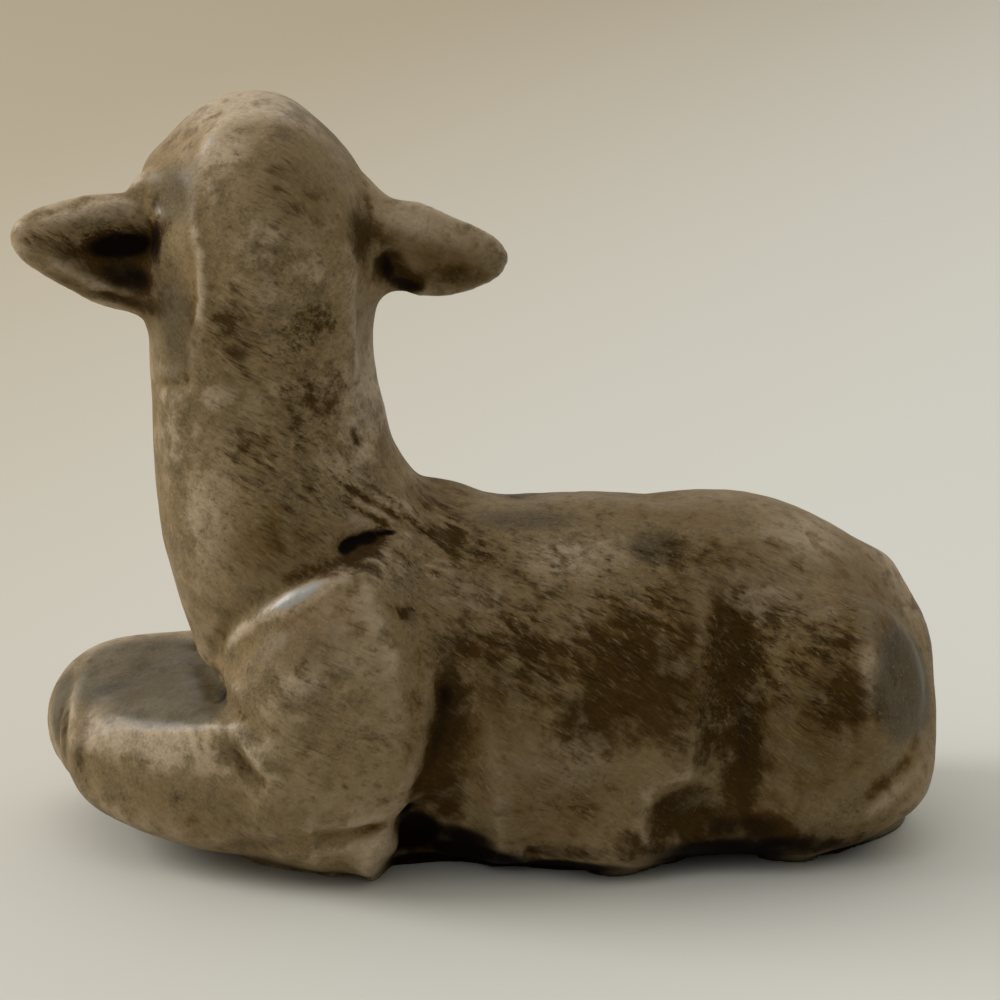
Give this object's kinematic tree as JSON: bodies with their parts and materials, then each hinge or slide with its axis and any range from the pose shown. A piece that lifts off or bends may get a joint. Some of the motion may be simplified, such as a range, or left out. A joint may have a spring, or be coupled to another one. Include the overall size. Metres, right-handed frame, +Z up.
{
  "type": "sheep figurine",
  "caption": "Reclining lamb figurine in brown stained earthenware: hollow body on a flat underside, folded legs, upright neck and a head turned to its right with ears held out sideways.",
  "frame": {"origin": "on the flat underside that the figurine rests on, a little behind the shoulders", "axes": "+X from brisket to rump, +Y towards the animal's right flank, which is where the face looks, +Z up"},
  "size_m": [0.0938, 0.0433, 0.078],
  "materials": {
    "stained_earthenware": "satin antique stain over fired earthenware"
  },
  "bodies": {
    "root": {"body": "stained_earthenware", "neck": "stained_earthenware", "head": "stained_earthenware", "left_ear": "stained_earthenware", "right_ear": "stained_earthenware", "left_foreleg": "stained_earthenware", "right_foreleg": "stained_earthenware", "left_hind_leg": "stained_earthenware", "right_hind_leg": "stained_earthenware", "tail": "stained_earthenware"}
  },
  "joints": []
}
